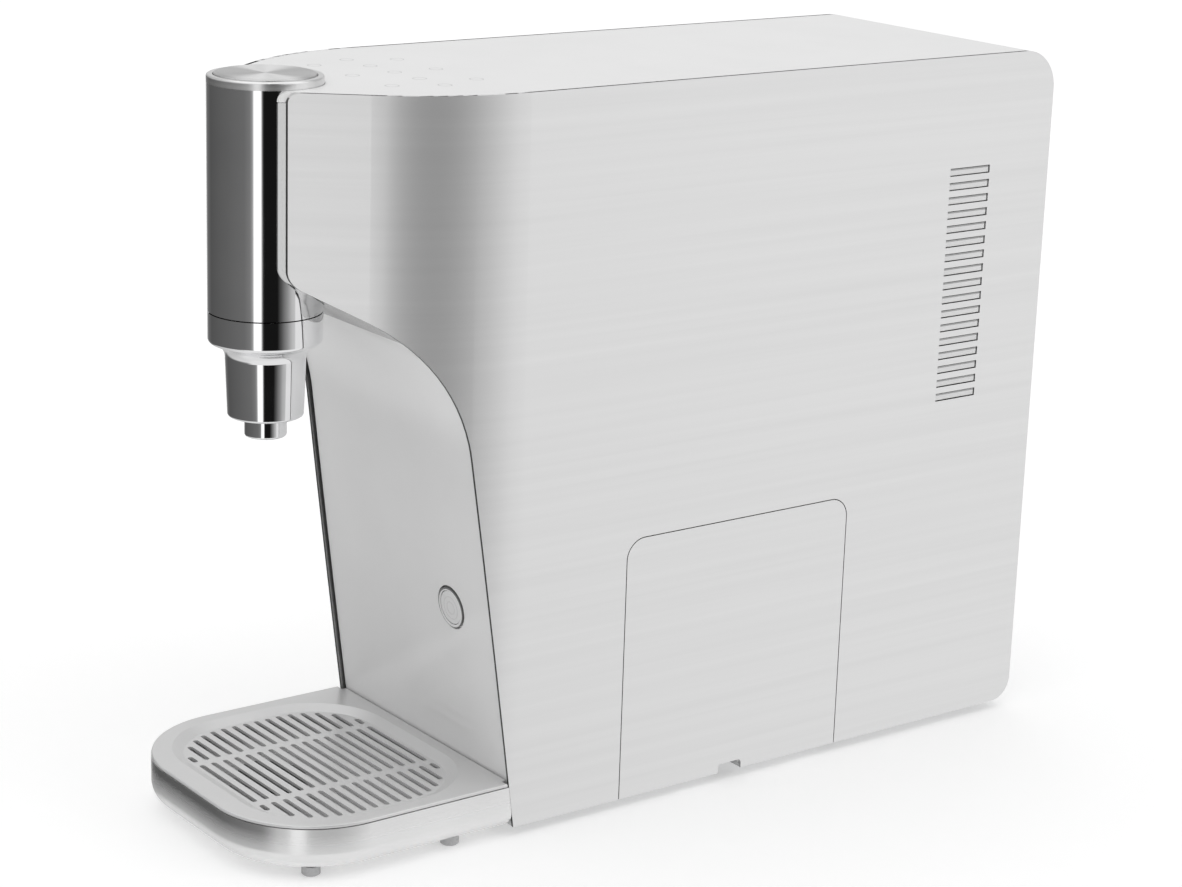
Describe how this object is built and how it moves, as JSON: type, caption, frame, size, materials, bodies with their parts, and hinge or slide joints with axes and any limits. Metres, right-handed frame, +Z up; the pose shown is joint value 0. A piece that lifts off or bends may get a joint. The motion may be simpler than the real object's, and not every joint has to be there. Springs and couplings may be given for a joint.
{
  "type": "countertop water dispenser",
  "caption": "Slim countertop water dispenser with brushed curved sides, chrome spout tower, cup alcove, slotted drip tray, side filter door and inner cooling parts.",
  "frame": {"origin": "on the worktop under the middle of the whole outline", "axes": "+Z up, nose and drip tray towards -Y, back towards +Y, filter door on +X"},
  "size_m": [0.166, 0.496, 0.39],
  "materials": {
    "brushed_steel": "fine horizontal grain, satin",
    "satin_silver": "silver metallic paint, satin",
    "satin_cover": "pale silver, satin",
    "chrome": "mirror polished",
    "spun_metal": "turned, radial sheen",
    "tray_silver": "silver metallic paint, satin",
    "white_plastic": "moulded, fine texture",
    "grey_plastic": "moulded, fine texture",
    "dark_plastic": "moulded, fine texture",
    "foam": "beaded foam",
    "rubber": "matt",
    "hose_white": "smooth",
    "steel": "plain steel",
    "black_enamel": "black stove enamel",
    "copper": "drawn copper",
    "aluminium": "bare fins",
    "board_green": "circuit board",
    "screw_steel": "zinc plated",
    "magnet": "nickel plated"
  },
  "bodies": {
    "housing": {"side_panel_right": "brushed_steel", "side_panel_left": "brushed_steel", "louvre_inserts": "satin_silver", "top_cover": "satin_cover", "nose_moulding": "satin_silver", "alcove_panel": "satin_silver", "rear_panel": "grey_plastic", "base_pan": "grey_plastic", "chassis_frame": "white_plastic", "body_feet": "rubber", "rear_screws": "screw_steel", "base_screws": "screw_steel", "tower_shell": "chrome", "spout_cover": "chrome", "tower_core": "white_plastic", "tower_top_ring": "spun_metal", "disc_spring": "steel", "disc_switch": "dark_plastic", "tower_bracket": "steel", "button_bezel": "satin_silver", "button_switch": "dark_plastic", "filter_bay": "white_plastic", "filter_manifold": "white_plastic", "door_catches": "steel", "compressor": "black_enamel", "compressor_mounts": "rubber", "fan_frame": "dark_plastic", "condenser": "aluminium", "cold_tank": "steel", "tank_foam": "foam", "evaporator_coil": "copper", "filter_drier": "copper", "heater_module": "dark_plastic", "power_supply": "aluminium", "board_tray": "white_plastic", "main_board": "board_green", "touch_board": "board_green", "valve_rail": "steel", "outlet_valves": "white_plastic", "inner_hoses": "hose_white", "water_fittings": "white_plastic", "power_gland": "dark_plastic", "inlet_valve": "white_plastic", "flow_sensor": "white_plastic"},
    "dispense_disc": {"dispense_disc": "spun_metal"},
    "round_button": {"round_button": "satin_silver"},
    "nozzle": {"nozzle_tip": "chrome"},
    "drip_tray": {"tray_body": "tray_silver", "drip_basin": "white_plastic", "tray_feet": "rubber"},
    "drip_grille": {"drip_grille": "tray_silver"},
    "filter_door": {"filter_door": "brushed_steel", "door_liner": "white_plastic", "door_magnets": "magnet"},
    "cartridge_1": {"filter_cartridge_1": "white_plastic"},
    "cartridge_2": {"filter_cartridge_2": "white_plastic"},
    "cartridge_3": {"filter_cartridge_3": "white_plastic"},
    "cartridge_4": {"filter_cartridge_4": "white_plastic"},
    "fan": {"fan_rotor": "dark_plastic"}
  },
  "joints": [
    {"name": "disc_push", "type": "slide", "parent": "housing", "child": "dispense_disc", "axis": [0, 0, -1], "range_m": [0, 0.0015], "stiffness_N_per_m": 900, "springref_m": -0.003, "deforming": ["disc_spring"]},
    {"name": "button_push", "type": "slide", "parent": "housing", "child": "round_button", "axis": [0, 0.9905, 0.1374], "range_m": [0, 0.0012], "stiffness_N_per_m": 500, "springref_m": -0.002},
    {"name": "nozzle_turn", "type": "hinge", "parent": "housing", "child": "nozzle", "pos_m": [0, -0.204, 0.215], "axis": [0, 0, 1], "range_deg": [0, 90]},
    {"name": "tray_pull", "type": "slide", "parent": "housing", "child": "drip_tray", "axis": [0, -1, 0], "range_m": [0, 0.12]},
    {"name": "grille_lift", "type": "slide", "parent": "drip_tray", "child": "drip_grille", "axis": [0, -0.1374, 0.9905], "range_m": [0, 0.03]},
    {"name": "door_pull", "type": "slide", "parent": "housing", "child": "filter_door", "axis": [1, 0, 0], "range_m": [0, 0.06]},
    {"name": "fan_spin", "type": "hinge", "parent": "housing", "child": "fan", "pos_m": [0, 0.1903, 0.2315], "axis": [0, 1, 0], "continuous": true},
    {"name": "cartridge_1_turn", "type": "hinge", "parent": "housing", "child": "cartridge_1", "pos_m": [0.02, 0.00255, 0.044], "axis": [1, 0, 0], "range_deg": [0, 90]},
    {"name": "cartridge_2_turn", "type": "hinge", "parent": "housing", "child": "cartridge_2", "pos_m": [0.02, 0.07255, 0.044], "axis": [1, 0, 0], "range_deg": [0, 90]},
    {"name": "cartridge_3_turn", "type": "hinge", "parent": "housing", "child": "cartridge_3", "pos_m": [0.02, 0.00255, 0.11], "axis": [1, 0, 0], "range_deg": [0, 90]},
    {"name": "cartridge_4_turn", "type": "hinge", "parent": "housing", "child": "cartridge_4", "pos_m": [0.02, 0.07255, 0.11], "axis": [1, 0, 0], "range_deg": [0, 90]}
  ]
}
